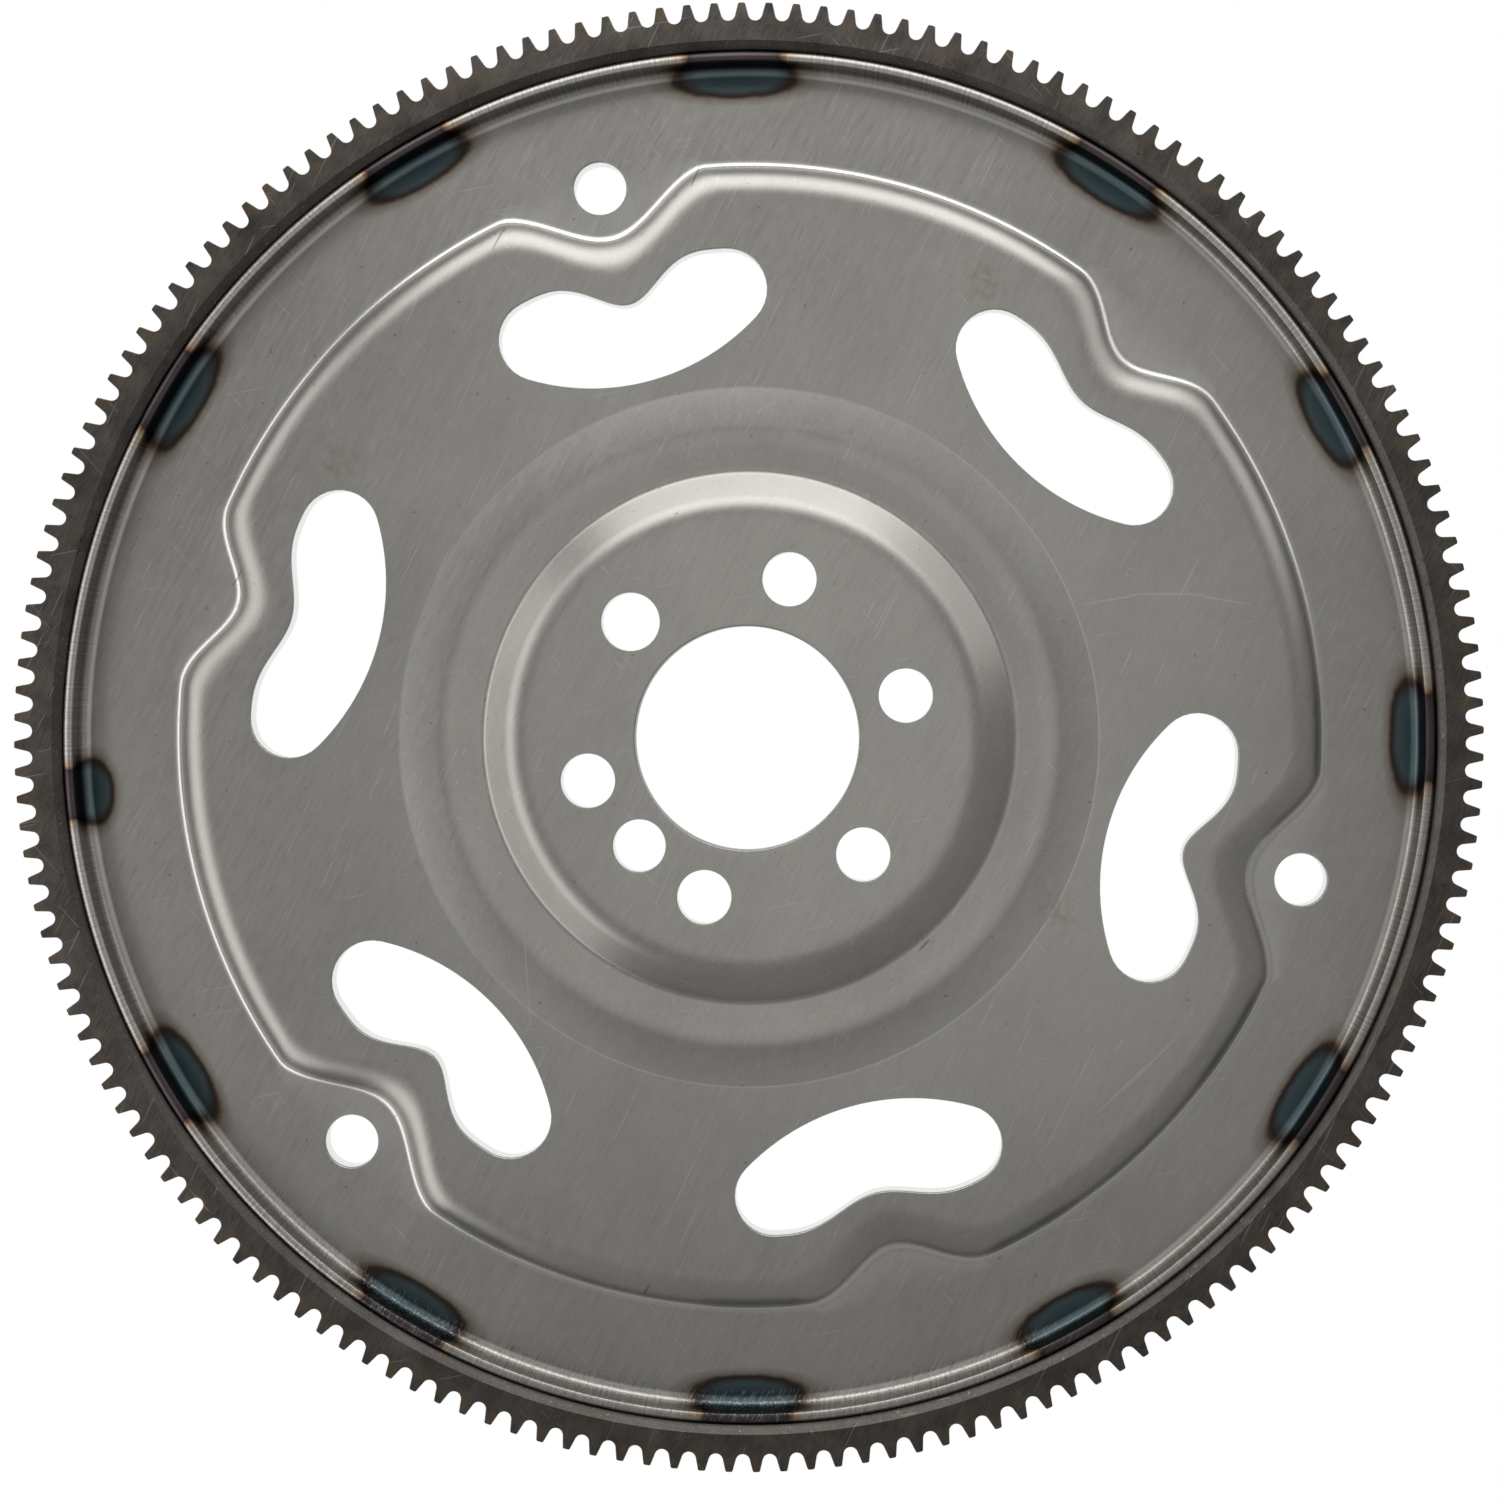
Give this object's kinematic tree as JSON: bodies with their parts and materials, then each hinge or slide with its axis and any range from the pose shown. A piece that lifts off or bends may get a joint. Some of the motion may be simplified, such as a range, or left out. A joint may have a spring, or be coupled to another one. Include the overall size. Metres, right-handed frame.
{
  "type": "flexplate",
  "caption": "Pressed steel flexplate with a welded toothed starter ring, a star-shaped step, kidney slots, a centre bore, and crank and converter bolt holes.",
  "frame": {"origin": "on the flexplate's axis, at the height of the ring gear's back face, on which it lies", "axes": "+Z along the axis, towards the side that the crank pad and the bent rim stand up to; +Y towards the top of the picture and +X to its right"},
  "size_m": [0.3592, 0.3592, 0.0151],
  "materials": {
    "sheet_steel": "bare satin rolled sheet with fine straight grain and blue-black heat marks at the welds",
    "ring_steel": "dark turned steel with brown heat tints",
    "weld_metal": "dark rippled weld metal"
  },
  "bodies": {
    "root": {"disc": "sheet_steel", "ring_gear": "ring_steel", "weld_bead_01": "weld_metal", "weld_bead_02": "weld_metal", "weld_bead_03": "weld_metal", "weld_bead_04": "weld_metal", "weld_bead_05": "weld_metal", "weld_bead_06": "weld_metal", "weld_bead_07": "weld_metal", "weld_bead_08": "weld_metal", "weld_bead_09": "weld_metal", "weld_bead_10": "weld_metal", "weld_bead_11": "weld_metal", "weld_bead_12": "weld_metal"}
  },
  "joints": []
}
